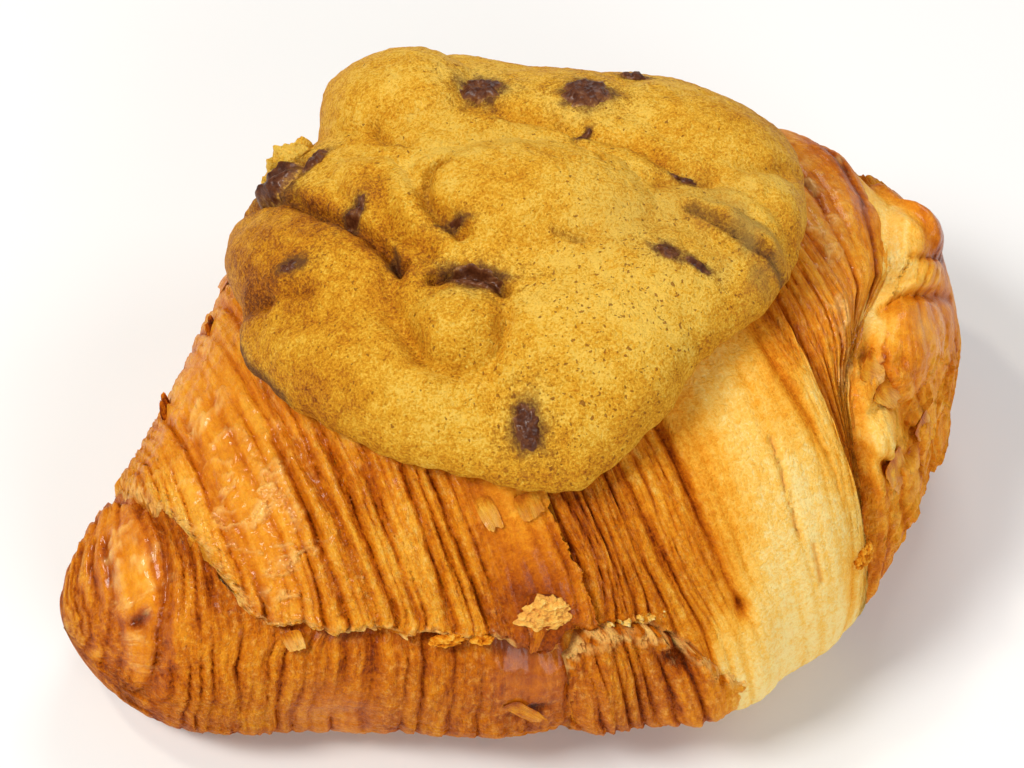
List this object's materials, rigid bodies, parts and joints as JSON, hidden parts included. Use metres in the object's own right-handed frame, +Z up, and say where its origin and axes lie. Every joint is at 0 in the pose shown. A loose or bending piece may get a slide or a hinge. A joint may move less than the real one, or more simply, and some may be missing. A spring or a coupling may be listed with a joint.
{
  "type": "chocolate chip crookie",
  "caption": "Plump croissant with a domed chocolate chip cookie baked onto its top, flat underneath so that it rests by itself.",
  "frame": {"origin": "middle of the box round the whole piece, at the height of the flat underside", "axes": "+Z up, +X along the croissant towards its blunt end, -Y towards the front with the ragged edge of the wrap"},
  "size_m": [0.1566, 0.1168, 0.0697],
  "materials": {
    "crust": "baked golden brown dough in fine layers, with an egg wash gloss",
    "cookie": "golden baked cookie, matt, with fine pores",
    "chocolate": "dark chocolate, softly glossy"
  },
  "bodies": {
    "root": {"croissant": "crust", "cookie": "cookie"}
  },
  "joints": []
}
